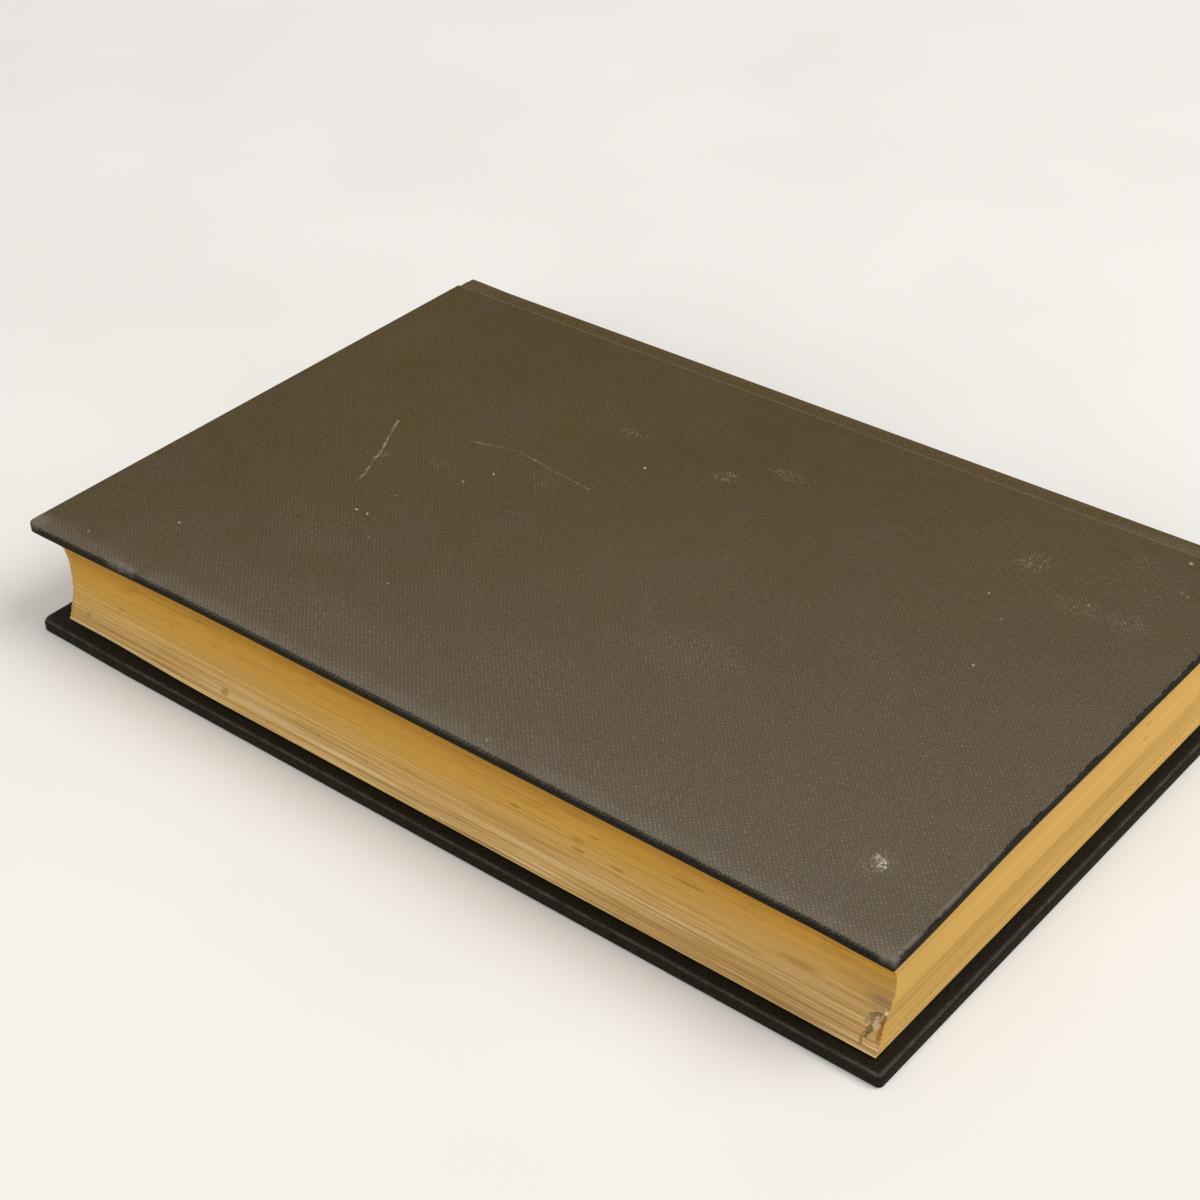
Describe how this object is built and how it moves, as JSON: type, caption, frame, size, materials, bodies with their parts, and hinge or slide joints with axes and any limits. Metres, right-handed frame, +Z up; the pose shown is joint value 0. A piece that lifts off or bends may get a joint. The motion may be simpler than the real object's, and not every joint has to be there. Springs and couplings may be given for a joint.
{
  "type": "hardback book",
  "caption": "Worn cloth-covered hardback book lying shut, with a rounded spine, hollow fore-edge, yellowed pages and two covers that open at grooved joints.",
  "frame": {"origin": "on the surface the book lies on, below the middle of its bounding box", "axes": "+Z up through the front cover, +X towards the fore-edge, +Y along the spine towards the head"},
  "size_m": [0.1634, 0.241, 0.0288],
  "materials": {
    "cloth": "dark brown-grey plain-weave book cloth, slightly glazed, rubbed at the edges",
    "board": "grey-brown millboard",
    "card": "thin brown card",
    "pages": "yellowed, slightly foxed page edges",
    "endpaper": "matt cream endpaper, browned at the margins",
    "lining": "brown lining paper",
    "mull": "open-weave cotton lining cloth",
    "band": "plain woven headband"
  },
  "bodies": {
    "book_block": {"text_block": "pages", "front_flyleaf": "endpaper", "back_flyleaf": "endpaper", "spine_mull": "mull", "spine_lining": "lining", "headband": "band", "tailband": "band", "spine_inlay": "card", "spine_cloth": "cloth"},
    "front_cover": {"front_board": "board", "front_cover_cloth": "cloth", "front_pastedown": "endpaper"},
    "back_cover": {"back_board": "board", "back_cover_cloth": "cloth", "back_pastedown": "endpaper"}
  },
  "joints": [
    {"name": "front_hinge", "type": "hinge", "parent": "book_block", "child": "front_cover", "pos_m": [-0.07525, 0, 0.0273], "axis": [0, -1, 0], "range_deg": [0, 180]},
    {"name": "back_hinge", "type": "hinge", "parent": "book_block", "child": "back_cover", "pos_m": [-0.07525, 0, 0.0015], "axis": [0, 1, 0], "range_deg": [0, 180]}
  ]
}
